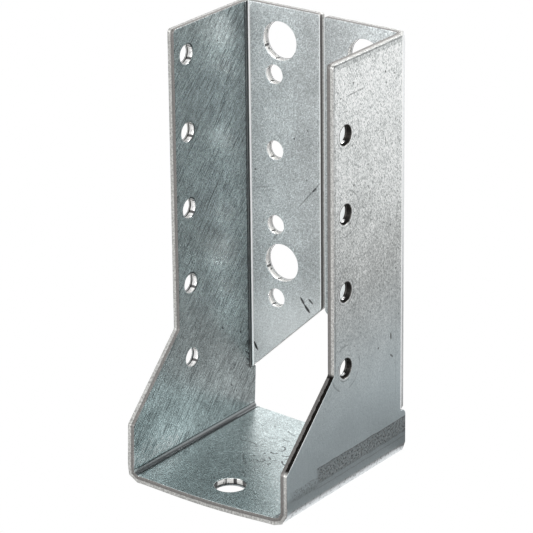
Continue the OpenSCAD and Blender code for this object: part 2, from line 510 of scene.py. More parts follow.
def sheet_tree(finishes):
    """Folds the blank and gives each face the material of its finish."""
    tree, given, result = new_group("joist hanger sheet", "GeometryNodeTree", {"Blank": "geometry", **FOLD_SIZES}, {"Sheet metal": "NodeSocketGeometry"})
    feeds = {"Flat": given["Blank"], **{label: given[label] for label in FOLD_SIZES}}
    folding = put(tree, "GeometryNodeGroup", node_tree=fold_blank)
    for label, socket in feeds.items():
        tree.links.new(socket, folding.inputs[label])
    mark = put(tree, "GeometryNodeInputNamedAttribute", {"Name": "finish"}, data_type="INT").outputs[0]
    flow = put(tree, "GeometryNodeRealizeInstances", {0: folding.outputs[0]}).outputs[0]
    for number, material in enumerate(finishes):
        chosen = put(tree, "FunctionNodeCompare", {2: mark, 3: number}, data_type="INT", operation="EQUAL").outputs[0]
        flow = put(tree, "GeometryNodeSetMaterial", {"Geometry": flow, "Selection": chosen, "Material": material}).outputs[0]
    tree.links.new(flow, result[0])
    return tree


def burr_tree(material):
    """A thin burr round each hole on its outer rim, from one point per hole that carries the radius."""
    takes = {"Points": "geometry", "Burr thickness": 0.1 * MM, "Burr depth": 1.97 * MM, **FOLD_SIZES}
    tree, given, result = new_group("punch burrs", "GeometryNodeTree", takes, {"Burrs": "NodeSocketGeometry"})
    radius = put(tree, "GeometryNodeInputNamedAttribute", {"Name": "radius"}, data_type="FLOAT").outputs[0]
    rim = put(tree, "GeometryNodeCurvePrimitiveCircle", {"Resolution": 56, "Radius": 1.0}).outputs[0]
    rims = put(tree, "GeometryNodeInstanceOnPoints", {"Points": given["Points"], "Instance": rim, "Scale": radius}).outputs[0]
    rims = put(tree, "GeometryNodeRealizeInstances", {0: rims}).outputs[0]
    lift = put(tree, "ShaderNodeCombineXYZ", {2: given["Burr depth"]}).outputs[0]
    rims = put(tree, "GeometryNodeSetPosition", {"Geometry": rims, "Offset": lift}).outputs[0]
    wire = put(tree, "GeometryNodeCurvePrimitiveCircle", {"Resolution": 6, "Radius": given["Burr thickness"]}).outputs[0]
    rings = put(tree, "GeometryNodeCurveToMesh", {"Curve": rims, "Profile Curve": wire}).outputs[0]
    rings = put(tree, "GeometryNodeFlipFaces", {0: rings}).outputs[0]
    folding = put(tree, "GeometryNodeGroup", node_tree=fold_blank)
    tree.links.new(rings, folding.inputs["Flat"])
    for label in FOLD_SIZES:
        tree.links.new(given[label], folding.inputs[label])
    flow = put(tree, "GeometryNodeRealizeInstances", {0: folding.outputs[0]}).outputs[0]
    flow = put(tree, "GeometryNodeSetShadeSmooth", {0: flow}).outputs[0]
    flow = put(tree, "GeometryNodeSetMaterial", {"Geometry": flow, "Material": material}).outputs[0]
    tree.links.new(flow, result[0])
    return tree


# Effects that several finishes share

def smooth_step(tree, value, low, high):
    """0 below low, 1 above high, with a soft ramp between them."""
    feeds = {"Value": value, "From Min": low, "From Max": high}
    return put(tree, "ShaderNodeMapRange", feeds, interpolation_type="SMOOTHSTEP").outputs[0]


def noise_at(tree, place, size, detail, roughness, distortion=0.0):
    """Soft noise around 0.5 with features of about this size, in metres."""
    feeds = {
        "Vector": place, "Scale": calc(tree, "DIVIDE", 1.0, size), "Detail": detail,
        "Roughness": roughness, "Distortion": distortion,
    }
    return put(tree, "ShaderNodeTexNoise", feeds).outputs[0]


def grain_group():
    """Fine crystalline mottling of the zinc: an even grain, and dark specks where it is rough."""
    takes = {"Place": (0.0, 0.0, 0.0), "Grain size": 0.0005, "Speck size": 0.0007, "Speck share": 0.1}
    gives = {"Grain": "NodeSocketFloat", "Specks": "NodeSocketFloat"}
    group, given, result = new_group("fine grain", "ShaderNodeTree", takes, gives)
    fine = noise_at(group, given["Place"], given["Grain size"], 2.0, 0.65)
    group.links.new(smooth_step(group, fine, 0.3, 0.7), result["Grain"])
    rough = noise_at(group, given["Place"], given["Speck size"], 1.0, 0.5)
    limit = calc(group, "SUBTRACT", 0.74, calc(group, "MULTIPLY", given["Speck share"], 0.5))
    group.links.new(smooth_step(group, rough, limit, calc(group, "ADD", limit, 0.05)), result["Specks"])
    return group


def cloud_group():
    """Slow change of the patina over the sheet."""
    takes = {"Place": (0.0, 0.0, 0.0), "Cloud size": 0.012}
    group, given, result = new_group("cloudy patina", "ShaderNodeTree", takes, {"Cloud": "NodeSocketFloat"})
    noise = noise_at(group, given["Place"], given["Cloud size"], 3.0, 0.55, 0.4)
    group.links.new(smooth_step(group, noise, 0.3, 0.7), result["Cloud"])
    return group


def drag_group():
    """Fine scratches dragged one way over the sheet, longer than they are wide."""
    takes = {"Place": (0.0, 0.0, 0.0), "Direction": 0.0, "Length": 0.006, "Width": 0.0003, "Share": 0.3}
    group, given, result = new_group("drag scratches", "ShaderNodeTree", takes, {"Scratches": "NodeSocketFloat"})
    feeds = {"Vector": given["Place"], "Angle": given["Direction"]}
    turned = put(group, "ShaderNodeVectorRotate", feeds, rotation_type="Z_AXIS").outputs[0]
    per_length = calc(group, "DIVIDE", 1.0, given["Length"])
    per_width = calc(group, "DIVIDE", 1.0, given["Width"])
    scale = put(group, "ShaderNodeCombineXYZ", {0: per_length, 1: per_width}).outputs[0]
    stretched = put(group, "ShaderNodeVectorMath", {0: turned, 1: scale}, operation="MULTIPLY").outputs[0]
    noise = noise_at(group, stretched, 1.0, 1.0, 0.5)
    limit = calc(group, "SUBTRACT", 0.8, calc(group, "MULTIPLY", given["Share"], 0.4))
    group.links.new(smooth_step(group, noise, limit, calc(group, "ADD", limit, 0.07)), result["Scratches"])
    return group


def pit_group():
    """Single dark pits, each in its own cell, with only some of the cells used."""
    takes = {"Place": (0.0, 0.0, 0.0), "Spacing": 0.003, "Size": 0.0003, "Share": 0.3}
    group, given, result = new_group("pits", "ShaderNodeTree", takes, {"Pits": "NodeSocketFloat"})
    feeds = {"Vector": given["Place"], "Scale": calc(group, "DIVIDE", 1.0, given["Spacing"])}
    cells = put(group, "ShaderNodeTexVoronoi", feeds).outputs
    reach = calc(group, "DIVIDE", given["Size"], given["Spacing"])
    far = smooth_step(group, cells["Distance"], calc(group, "MULTIPLY", reach, 0.6), reach)
    chance = put(group, "ShaderNodeSeparateColor", {0: cells["Color"]}).outputs[0]
    used = calc(group, "LESS_THAN", chance, given["Share"])
    group.links.new(calc(group, "MULTIPLY", calc(group, "SUBTRACT", 1.0, far), used), result["Pits"])
    return group


def stroke_group():
    """One straight mark from a point of the blank to another, thinner and weaker towards its ends."""
    takes = {"Place": (0.0, 0.0, 0.0), "From": (0.0, 0.0, 0.0), "To": (0.001, 0.0, 0.0), "Width": 0.0003}
    group, given, result = new_group("single mark", "ShaderNodeTree", takes, {"Mark": "NodeSocketFloat"})

    def v(operation, *values, out=0):
        return put(group, "ShaderNodeVectorMath", dict(enumerate(values)), operation=operation).outputs[out]

    way = v("SUBTRACT", given["To"], given["From"])
    offset = v("SUBTRACT", given["Place"], given["From"])
    along_way = v("DOT_PRODUCT", offset, way, out="Value")
    part = calc(group, "DIVIDE", along_way, v("DOT_PRODUCT", way, way, out="Value"))
    held = calc(group, "MINIMUM", calc(group, "MAXIMUM", part, 0.0), 1.0)
    nearest = put(group, "ShaderNodeVectorMath", {0: way, "Scale": held}, operation="SCALE").outputs[0]
    gap = v("DISTANCE", offset, nearest, out="Value")
    to_end = calc(group, "ABSOLUTE", calc(group, "MULTIPLY_ADD", held, 2.0, -1.0))
    thin = calc(group, "SUBTRACT", 1.0, calc(group, "POWER", to_end, 3.0))
    width = calc(group, "MULTIPLY", given["Width"], calc(group, "MULTIPLY_ADD", thin, 0.7, 0.3))
    off = smooth_step(group, gap, calc(group, "MULTIPLY", width, 0.3), width)
    group.links.new(calc(group, "SUBTRACT", 1.0, off), result["Mark"])
    return group


def ring_group():
    """Faint rings round a row of holes, worn away here and there: rings that the punching tool pressed, dark rims, and
    painted highlights of burrs.
    """
    takes = {
        "Place": (0.0, 0.0, 0.0), "First hole": 0.03, "Last hole": 0.1, "Pitch": 0.02, "Row": 0.0,
        "Radius": 0.0055, "Line": 0.0002,
    }
    group, given, result = new_group("rings round holes", "ShaderNodeTree", takes, {"Rings": "NodeSocketFloat"})
    place = put(group, "ShaderNodeSeparateXYZ", {0: given["Place"]}).outputs
    height = calc(group, "SUBTRACT", place[0], given["First hole"])
    length = calc(group, "SUBTRACT", given["Last hole"], given["First hole"])
    last = calc(group, "ROUND", calc(group, "DIVIDE", length, given["Pitch"]))
    step = calc(group, "ROUND", calc(group, "DIVIDE", height, given["Pitch"]))
    step = calc(group, "MINIMUM", calc(group, "MAXIMUM", step, 0.0), last)
    x = calc(group, "SUBTRACT", height, calc(group, "MULTIPLY", step, given["Pitch"]))
    y = calc(group, "SUBTRACT", place[1], given["Row"])
    far = calc(group, "SQRT", calc(group, "ADD", calc(group, "MULTIPLY", x, x), calc(group, "MULTIPLY", y, y)))
    gap = calc(group, "ABSOLUTE", calc(group, "SUBTRACT", far, given["Radius"]))
    off = smooth_step(group, gap, calc(group, "MULTIPLY", given["Line"], 0.3), given["Line"])
    worn = smooth_step(group, noise_at(group, given["Place"], 0.004, 1.0, 0.5), 0.38, 0.58)
    group.links.new(calc(group, "MULTIPLY", calc(group, "SUBTRACT", 1.0, off), worn), result["Rings"])
    return group


def crease_group():
    """A thin line of changing width that runs along a fold at a set place across it."""
    takes = {"Across": 0.0, "Place": (0.0, 0.0, 0.0), "Line": 0.0, "Width": 0.0004}
    group, given, result = new_group("line along a fold", "ShaderNodeTree", takes, {"Crease": "NodeSocketFloat"})
    wander = noise_at(group, given["Place"], 0.003, 2.0, 0.5)
    gap = calc(group, "ABSOLUTE", calc(group, "SUBTRACT", given["Across"], given["Line"]))
    width = calc(group, "MULTIPLY", given["Width"], calc(group, "MULTIPLY_ADD", wander, 1.2, 0.4))
    off = smooth_step(group, gap, calc(group, "MULTIPLY", width, 0.35), width)
    group.links.new(calc(group, "SUBTRACT", 1.0, off), result["Crease"])
    return group


GRAIN, CLOUD, DRAG, PIT, STROKE, RING, CREASE = (
    make() for make in (grain_group, cloud_group, drag_group, pit_group, stroke_group, ring_group, crease_group)
)


# Finishes

class Finish:
    """One material: its Principled shader, the coordinates, and layers that tint, shade, dull or dent it."""

    def __init__(self, name, colour, roughness, metallic=1.0):
        self.material = bpy.data.materials.new(name)
        self.material.use_nodes = True
        self.tree = self.material.node_tree
        self.tree.nodes.clear()
        feeds = {"Base Color": (*colour, 1), "Roughness": roughness, "Metallic": metallic}
        self.surface = put(self.tree, "ShaderNodeBsdfPrincipled", feeds)
        put(self.tree, "ShaderNodeOutputMaterial", {0: self.surface.outputs[0]})
        self.colour, self.roughness, self.metallic, self.height = (*colour, 1), roughness, metallic, None

    def place(self):
        """The piece's own coordinates, in metres."""
        return put(self.tree, "ShaderNodeTexCoord").outputs["Object"]

    def blank(self):
        """The place on the flat blank, in metres from its middle: across it, then along it."""
        flat = put(self.tree, "ShaderNodeUVMap", uv_map="blank").outputs[0]
        feeds = {"Vector": flat, "Location": (-0.15, -0.15, 0), "Scale": (0.3, 0.3, 0.3)}
        return put(self.tree, "ShaderNodeMapping", feeds).outputs[0]

    def cut(self):
        """On a cut wall: the run along the edge, then the depth, in metres."""
        flat = put(self.tree, "ShaderNodeUVMap", uv_map="cut").outputs[0]
        return put(self.tree, "ShaderNodeMapping", {"Vector": flat, "Scale": (0.3, 0.3, 0.3)}).outputs[0]

    def axes(self, place):
        return put(self.tree, "ShaderNodeSeparateXYZ", {0: place}).outputs

    def step(self, value, low_mm, high_mm):
        """0 below the first length and 1 above the second, both in mm. The first may be the larger one."""
        return smooth_step(self.tree, value, low_mm * MM, high_mm * MM)

    def both(self, *masks):
        """The masks multiplied with each other."""
        result = masks[0]
        for mask in masks[1:]:
            result = calc(self.tree, "MULTIPLY", result, mask)
        return result

    def effect(self, group, out=0, **feeds):
        node = put(self.tree, "ShaderNodeGroup", node_tree=group)
        for label, value in feeds.items():
            socket = node.inputs[label.replace("_", " ")]
            if isinstance(value, bpy.types.NodeSocket):
                self.tree.links.new(value, socket)
            else:
                socket.default_value = value
        return node.outputs[out]

    def tint(self, mask, colour, amount=1.0):
        """Mixes a colour in where the mask is."""
        if amount != 1.0:
            mask = calc(self.tree, "MULTIPLY", mask, amount)
        node = put(self.tree, "ShaderNodeMix", {0: mask, 6: self.colour, 7: (*colour, 1)}, data_type="RGBA")
        self.colour = node.outputs[2]
        return self

    def shade(self, mask, low, high):
        """Multiplies the colour by low where the mask is 0 and by high where it is 1."""
        factor = calc(self.tree, "MULTIPLY_ADD", mask, high - low, low)
        grey = put(self.tree, "ShaderNodeCombineColor", {0: factor, 1: factor, 2: factor}).outputs[0]
        feeds = {0: 1.0, 6: self.colour, 7: grey}
        self.colour = put(self.tree, "ShaderNodeMix", feeds, data_type="RGBA", blend_type="MULTIPLY").outputs[2]
        return self

    def dull(self, mask, amount):
        """Adds to the roughness where the mask is."""
        self.roughness = calc(self.tree, "MULTIPLY_ADD", mask, amount, self.roughness)
        return self

    def less_metallic(self, mask, amount):
        """Takes the metallic shine off where the mask is, where light or a highlight is painted."""
        left = calc(self.tree, "MULTIPLY_ADD", mask, -amount, 1.0)
        self.metallic = calc(self.tree, "MULTIPLY", left, self.metallic)
        return self

    def dent(self, mask, microns):
        """Raises the surface by so many thousandths of a millimetre where the mask is, or sinks it."""
        step = calc(self.tree, "MULTIPLY", mask, microns)
        self.height = step if self.height is None else calc(self.tree, "ADD", self.height, step)
        return self

    def marks(self, blank, marks):
        """Single marks: start, end, width in mm, and how dark they are, or how pale below zero."""
        for start, end, width, strength in marks:
            ends = {"From": (start[0] * MM, start[1] * MM, 0), "To": (end[0] * MM, end[1] * MM, 0)}
            mark = self.effect(STROKE, Place=blank, Width=width * MM, **ends)
            self.tint(mark, PIT_AND_SHADE_BLACK if strength > 0 else PALE_ZINC_AND_LIGHT, abs(strength)).dent(mark, -30.0 * strength)
        return self

    def done(self):
        links = self.tree.links
        if isinstance(self.colour, bpy.types.NodeSocket):
            links.new(self.colour, self.surface.inputs["Base Color"])
        if isinstance(self.roughness, bpy.types.NodeSocket):
            links.new(self.roughness, self.surface.inputs["Roughness"])
        if isinstance(self.metallic, bpy.types.NodeSocket):
            links.new(self.metallic, self.surface.inputs["Metallic"])
        if self.height is not None:
            bump = put(self.tree, "ShaderNodeBump", {"Strength": 1.0, "Distance": 1e-6, "Height": self.height})
            links.new(bump.outputs[0], self.surface.inputs["Normal"])
        return self.material


# Colours for real marks of the zinc, also used for painted shade (the dark ones) and painted light (the pale one)
DARK_ZINC_AND_SHADE = (0.10, 0.115, 0.12)
PIT_AND_SHADE_BLACK = (0.03, 0.03, 0.032)
PALE_ZINC_AND_LIGHT = (0.9, 0.92, 0.92)
CUT_STEEL = (0.14, 0.135, 0.13)


def zinc(name, colour, roughness, grain, specks, pits, lay, metallic=1.0, relief=1.0):
    """Galvanised face: mottled grain, slow patina, dark specks, short streaks of the rolled zinc and single pits."""
    f = Finish(name, colour, roughness, metallic)
    place = f.place()
    streaks = f.effect(DRAG, Place=f.blank(), Direction=lay, Length=0.0011, Width=0.00026, Share=0.95)
    ridges = f.effect(DRAG, Place=f.blank(), Direction=lay + 0.5, Length=0.0009, Width=0.0003, Share=0.7)
    fine = f.effect(GRAIN, Place=place, Grain_size=0.0004)
    coarse = f.effect(GRAIN, Place=place, Grain_size=0.0011)
    rough = f.effect(GRAIN, out=1, Place=place, Speck_size=0.0006, Speck_share=specks)
    cloud = f.effect(CLOUD, Place=place, Cloud_size=0.012)
    blots = f.effect(CLOUD, Place=place, Cloud_size=0.0035)
    holes = f.effect(PIT, Place=place, Spacing=0.0045, Size=0.00033, Share=pits)
    f.shade(cloud, 0.9, 1.08).shade(blots, 0.94, 1.05)
    f.shade(fine, 1 - 0.36 * grain, 1 + 0.28 * grain).shade(coarse, 1 - 0.13 * grain, 1 + 0.12 * grain)
    f.tint(streaks, DARK_ZINC_AND_SHADE, 0.2 * grain).tint(ridges, PALE_ZINC_AND_LIGHT, 0.16 * grain)
    f.tint(rough, DARK_ZINC_AND_SHADE, 0.45).tint(holes, PIT_AND_SHADE_BLACK, 0.8)
    f.dull(cloud, 0.04).dull(fine, -0.05)
    f.dent(fine, 8.0 * relief).dent(coarse, 12.0 * relief).dent(rough, -14.0 * relief).dent(streaks, -7.0 * relief)
    return f


def on_left(y, z):
    """Blank coordinates of a place on the left plate."""
    return (-across_at(-1, z), y)


def on_right(y, z):
    return (across_at(1, z), y)


def on_left_flange(x, z):
    return (-across_at(-1, z), along_at(abs(x)))


# Inside of the channel: both plates and the seat
inner = zinc("galvanised inside of the channel", (0.535, 0.612, 0.617), 0.275, grain=1.0, specks=0.12, pits=0.1, lay=0.75, relief=0.5)
blank = inner.blank()
across, along, _ = inner.axes(blank)
up_left = calc(inner.tree, "MULTIPLY", across, -1.0)
on_left_plate = inner.step(up_left, plate_start(-1), plate_start(-1) + 1.0)
on_right_plate = inner.step(across, plate_start(1), plate_start(1) + 1.0)
# Scratches that the sheet was dragged along on the left plate, from its rear top to its front
for turn, length, width, share, strength in ((0.72, 6.0, 0.2, 0.6, 0.8), (0.8, 11.0, 0.16, 0.5, 0.9), (0.62, 3.0, 0.28, 0.5, 0.5)):
    drags = inner.effect(DRAG, Place=blank, Direction=turn, Length=length * MM, Width=width * MM, Share=share)
    drags = inner.both(drags, on_left_plate)
    inner.tint(drags, DARK_ZINC_AND_SHADE, strength).dent(drags, -7.0)
pale = inner.effect(DRAG, Place=blank, Direction=0.75, Length=7 * MM, Width=0.2 * MM, Share=0.35)
inner.tint(inner.both(pale, on_left_plate), PALE_ZINC_AND_LIGHT, 0.25)
# Painted light over the front of the left plate's foot, and painted shade over its rear
foot = plate_start(-1)
inner.shade(inner.both(inner.step(up_left, foot + 12, foot), on_left_plate, inner.step(along, 2.0, -14.0)), 1.0, 2.25)
inner.shade(inner.both(inner.step(up_left, foot + 20, foot + 8), on_left_plate, inner.step(along, -4.0, 12.0)), 1.0, 0.8)
# Painted light and shade on the seat: paler towards its rear and its right, darker at its front
on_seat = inner.both(inner.step(up_left, seat_flat(-1) + 1, seat_flat(-1)), inner.step(across, seat_flat(1) + 1, seat_flat(1)))
inner.shade(on_seat, 1.0, 1.27).shade(inner.both(on_seat, inner.step(along, 4.0, -16.0)), 1.0, 0.82)
inner.shade(inner.both(on_seat, inner.step(across, 0.0, 12.0)), 1.0, 1.35)
# Painted reflections of the right plate's bright nail holes: soft pale patches on the left plate
for y, z, reach, gain in (
    (11.7, 106.5, 6.5, 1.3), (9.0, 101.5, 5.0, 1.2), (11.4, 80.3, 6.0, 1.35), (11.5, 60.4, 6.0, 1.3),
    (10.1, 49.5, 8.0, 1.5), (10.9, 40.5, 5.5, 1.25),
):
    centre = (-across_at(-1, z) * MM, y * MM, 0)
    far = put(inner.tree, "ShaderNodeVectorMath", {0: blank, 1: centre}, operation="DISTANCE").outputs["Value"]
    inner.shade(inner.both(inner.step(far, reach, 0.0), on_left_plate), 1.0, gain)
# Dark rims behind the nail holes of the left plate
nails = dict(
    Place=blank, First_hole=-across_at(-1, LEFT_NAILS_Z[-1]) * MM, Last_hole=-across_at(-1, LEFT_NAILS_Z[0]) * MM,
    Pitch=PITCH * MM, Row=NAIL_Y * MM,
)
nail_rim = inner.effect(RING, Radius=0.00275, Line=0.0003, **nails)
inner.tint(inner.both(nail_rim, inner.step(along, NAIL_Y - 0.5, NAIL_Y + 0.5)), PIT_AND_SHADE_BLACK, 0.9)
# Painted shade on both plates, darker towards the flange fold
inner.shade(inner.both(inner.step(along, 14.0, 23.0), calc(inner.tree, "MAXIMUM", on_left_plate, on_right_plate)), 1.0, 0.74)
inner.marks(blank, [
    (on_left(11.5, 28.9), on_left(11.9, 28.1), 0.45, 0.9),
    (on_left(19.1, 25.2), on_left(19.5, 24.6), 0.45, 0.9),
    (on_left(15.0, 11.8), on_left(15.2, 11.2), 0.4, 0.8),
    (on_left(22.0, 21.5), on_left(22.2, 20.7), 0.35, 0.7),
    (on_left(13.4, 71.3), on_left(6.6, 64.0), 0.3, 0.6),
    (on_left(20.2, 78.7), on_left(16.8, 75.1), 0.3, 0.6),
    (on_left(14.2, 89.0), on_left(11.7, 86.2), 0.3, 0.5),
    (on_left(21.2, 18.8), on_left(23.0, 17.3), 0.35, 0.8),
    (on_left(21.4, 16.7), on_left(22.9, 15.8), 0.3, 0.7),
    (on_left(21.3, 15.2), on_left(22.8, 14.2), 0.3, 0.6),
])
# Curled scratches on the seat
for points, strength in (
    (((-3.2, 5.4), (-2.5, 4.9), (-1.8, 5.2), (-1.1, 5.8)), 0.9),
    (((-2.0, 7.1), (-1.0, 7.3), (-0.8, 8.2), (-1.3, 9.1), (-2.1, 9.7), (-2.7, 9.5)), 0.85),
    (((0.3, 5.0), (1.3, 5.2), (2.6, 6.0)), 0.85),
    (((2.3, 2.6), (3.3, 1.4), (4.6, 0.7)), 0.8),
    (((2.3, 3.4), (3.0, 4.3)), 0.7),
    (((-3.6, -0.5), (-2.5, -0.9), (-1.5, -0.5), (-1.5, 0.7), (-2.8, 0.9)), 0.65),
    (((-5.3, 0.8), (-5.2, 1.4)), 0.7),
    (((-3.9, 3.4), (-3.9, 4.0)), 0.7),
    (((0.6, -1.3), (0.7, 0.0)), 0.65),
    (((-1.8, 2.7), (-0.4, 1.6)), 0.6),
    (((0.4, 1.1), (0.9, 2.6)), 0.55),
    (((-13.5, 6.4), (-11.5, 6.8), (-9.8, 7.0), (-8.4, 6.4)), 0.5),
    (((-6.9, 18.1), (-5.5, 17.1), (-3.6, 16.6)), 0.5),
    (((-8.2, 0.3), (-5.7, -2.8), (-3.7, -4.1)), 0.45),
    (((-3.3, -7.2), (-0.5, -9.3)), 0.4),
    (((-5.2, 13.5), (-4.0, 12.9), (-2.9, 13.3)), 0.5),
    (((-11.5, 18.1), (-10.8, 18.2)), 0.5),
):
    inner.marks(blank, [(start, end, 0.36, strength) for start, end in zip(points, points[1:])])
# Painted shade: a dark line on each plate beside the flange fold, above the slits, and thin dark lines along both edges
# of each seat bend
root_left, root_right = across_at(-1, FLANGE_ROOT_Z), across_at(1, FLANGE_ROOT_Z)
above_slit = calc(
    inner.tree, "MAXIMUM", inner.step(up_left, root_left, root_left + 0.3), inner.step(across, root_right, root_right + 0.3)
)
fold_shade_line = inner.effect(CREASE, Across=along, Place=blank, Line=(FLANGE_BEND_Y - 0.3) * MM, Width=0.45 * MM)
inner.tint(inner.both(fold_shade_line, above_slit), PIT_AND_SHADE_BLACK, 0.85)
for way, side in ((up_left, -1), (across, 1)):
    for line in (plate_start(side) + 0.12, seat_flat(side) - 0.12):
        seat_bend_shade_line = inner.effect(CREASE, Across=way, Place=blank, Line=line * MM, Width=0.24 * MM)
        inner.tint(seat_bend_shade_line, PIT_AND_SHADE_BLACK, 0.75)

# Front of the flanges
flange = zinc("galvanised flanges", (0.70, 0.74, 0.75), 0.42, grain=1.05, specks=0.08, pits=0.18, lay=0.6, metallic=0.6)
blank = flange.blank()
across, along, _ = flange.axes(blank)
# Painted light and shade: the flanges are paler beside the fold and darker towards their free edge, and the right
# flange is darker
flange.shade(flange.step(along, FLANGE_START, along_at(0.5)), 1.3, 0.8).shade(flange.step(across, -10.0, 10.0), 1.0, 0.84)
# Painted highlight: a pale line along the free edge of each flange
free_edge_highlight = flange.step(along, along_at(0.95), along_at(0.75))
flange.tint(free_edge_highlight, PALE_ZINC_AND_LIGHT, 0.7)
# Painted light: the lower end of the left flange is paler and less metallic
low_end_light = flange.both(flange.step(across, -across_at(-1, 46), -across_at(-1, 24)), flange.step(across, 0.0, -5.0))
flange.tint(low_end_light, PALE_ZINC_AND_LIGHT, 0.5).less_metallic(low_end_light, 0.6)
# Painted light: a pale patch on the right flange, seen through the nail holes of the right plate
through_hole_light = flange.both(
    flange.step(across, 20.0, 30.0), flange.step(across, across_at(1, 99), across_at(1, 97)),
    flange.step(along, along_at(11.5), along_at(10)), flange.step(along, along_at(3.4), along_at(4.6)),
)
flange.tint(through_hole_light, PALE_ZINC_AND_LIGHT, 0.9)
drags = flange.effect(DRAG, Place=blank, Direction=0.2, Length=0.006, Width=0.0003, Share=0.15)
flange.tint(drags, DARK_ZINC_AND_SHADE, 0.3)
flange.marks(blank, [
    (on_left_flange(-0.6, 68.6), on_left_flange(-7.6, 60.4), 0.26, 0.5),
    (on_left_flange(-1.8, 67.0), on_left_flange(-3.0, 65.7), 0.4, 0.8),
    (on_left_flange(-13.5, 52.7), on_left_flange(-15.6, 50.2), 0.25, 0.4),
    (on_left_flange(-20.6, 63.4), on_left_flange(-16.1, 64.4), 0.2, 0.35),
    (on_left_flange(-20.7, 68.4), on_left_flange(-20.6, 68.0), 0.4, 0.8),
    (on_left_flange(-4.4, 81.8), on_left_flange(-4.3, 81.3), 0.35, 0.7),
    (on_left_flange(-4.8, 68.7), on_left_flange(-4.7, 68.2), 0.35, 0.7),
    (on_left_flange(-6.9, 36.4), on_left_flange(-5.7, 34.6), 0.5, 0.95),
    (on_left_flange(-5.7, 34.6), on_left_flange(-4.1, 32.8), 0.6, 1.0),
    (on_left_flange(-4.4, 36.5), on_left_flange(-3.1, 35.4), 0.45, 0.9),
    (on_left_flange(-21.9, 20.8), on_left_flange(-20.6, 18.6), 0.55, 1.0),
])

# Outside of the whole sheet
outer = zinc("galvanised outside", (0.86, 0.885, 0.875), 0.35, grain=1.0, specks=0.24, pits=0.6, lay=-0.6)
blank = outer.blank()
across, along, _ = outer.axes(blank)
dots = outer.effect(PIT, Place=outer.place(), Spacing=0.0016, Size=0.00017, Share=0.5)
worms = outer.effect(DRAG, Place=blank, Direction=0.5, Length=0.0013, Width=0.00022, Share=0.62)
up = outer.axes(outer.place())[2]
worms = outer.both(worms, calc(outer.tree, "MULTIPLY_ADD", outer.step(up, 25, 60), 0.6, 0.4))
outer.tint(dots, DARK_ZINC_AND_SHADE, 0.7).tint(worms, DARK_ZINC_AND_SHADE, 0.45).dent(dots, -10.0)
# Painted light and shade: paler towards the top, darker and bluer towards the foot
outer.shade(outer.step(up, 70, 105), 1.0, 1.1).shade(outer.step(up, 55, 80), 1.0, 1.12)
outer.tint(outer.step(up, 60, 15), (0.70, 0.81, 0.85), 0.85)
drags = outer.effect(DRAG, Place=blank, Direction=-0.3, Length=0.005, Width=0.0003, Share=0.12)
outer.tint(drags, DARK_ZINC_AND_SHADE, 0.3)
outer.marks(blank, [
    (on_right(-0.9, 103.0), on_right(6.8, 103.2), 0.25, 0.5),
    (on_right(15.4, 105.0), on_right(15.8, 104.6), 0.45, 0.9),
    (on_right(2.1, 80.0), on_right(2.5, 79.7), 0.45, 0.9),
    (on_right(15.7, 88.2), on_right(15.8, 86.2), 0.3, 0.55),
    (on_right(18.3, 36.1), on_right(18.5, 34.3), 0.45, 0.8),
    (on_right(18.1, 30.4), on_right(19.4, 29.3), 0.35, 0.7),
    (on_right(12.8, 34.1), on_right(13.0, 33.6), 0.4, 0.8),
    (on_right(21.0, 90.4), on_right(20.7, 43.6), 0.16, 0.22),
    (on_right(20.7, 43.6), on_right(20.6, 17.4), 0.16, 0.22),
])
rows = (
    (across_at(1, RIGHT_NAILS_Z[0]), across_at(1, RIGHT_NAILS_Z[-1])),
    (-across_at(-1, LEFT_NAILS_Z[-1]), -across_at(-1, LEFT_NAILS_Z[0])),
)
for first, last in rows:
    row = dict(Place=blank, First_hole=first * MM, Last_hole=last * MM, Pitch=PITCH * MM, Row=NAIL_Y * MM)
    press = outer.effect(RING, Radius=0.0058, Line=0.00028, **row)
    # The pale ring tight round each hole is a painted highlight of its burr
    rim = outer.effect(RING, Radius=0.00285, Line=0.00035, **row)
    dark = outer.effect(RING, Radius=0.0033, Line=0.0002, **row)
    outer.tint(press, DARK_ZINC_AND_SHADE, 0.35).tint(rim, PALE_ZINC_AND_LIGHT, 0.5).tint(dark, DARK_ZINC_AND_SHADE, 0.5).dent(press, -20.0)
# The strip above the right seat bend, scuffed by the brake tool
strip_low, strip_high = across_at(1, 7.2), across_at(1, 11.3)
wavy = calc(outer.tree, "MULTIPLY_ADD", noise_at(outer.tree, blank, 0.004, 1.0, 0.5), 0.6 * MM, across)
strip = outer.both(
    outer.step(wavy, strip_low + 0.2, strip_low + 0.5), outer.step(wavy, strip_high + 0.4, strip_high + 0.15),
    outer.step(along, -14.0, -12.5),
)
scuff = outer.effect(GRAIN, Place=blank, Grain_size=0.0005)
gouge = outer.effect(GRAIN, out=1, Place=blank, Speck_size=0.0006, Speck_share=0.42)
outer.tint(strip, DARK_ZINC_AND_SHADE, 0.46).tint(outer.both(strip, gouge), PIT_AND_SHADE_BLACK, 0.6)
outer.tint(outer.both(strip, smooth_step(outer.tree, scuff, 0.55, 0.8)), PALE_ZINC_AND_LIGHT, 0.4).dent(outer.both(strip, scuff), 16.0)
below = outer.both(outer.step(across, strip_low + 1.0, strip_low - 0.6), outer.step(across, 15.0, 20.0))
outer.tint(below, DARK_ZINC_AND_SHADE, 0.34)
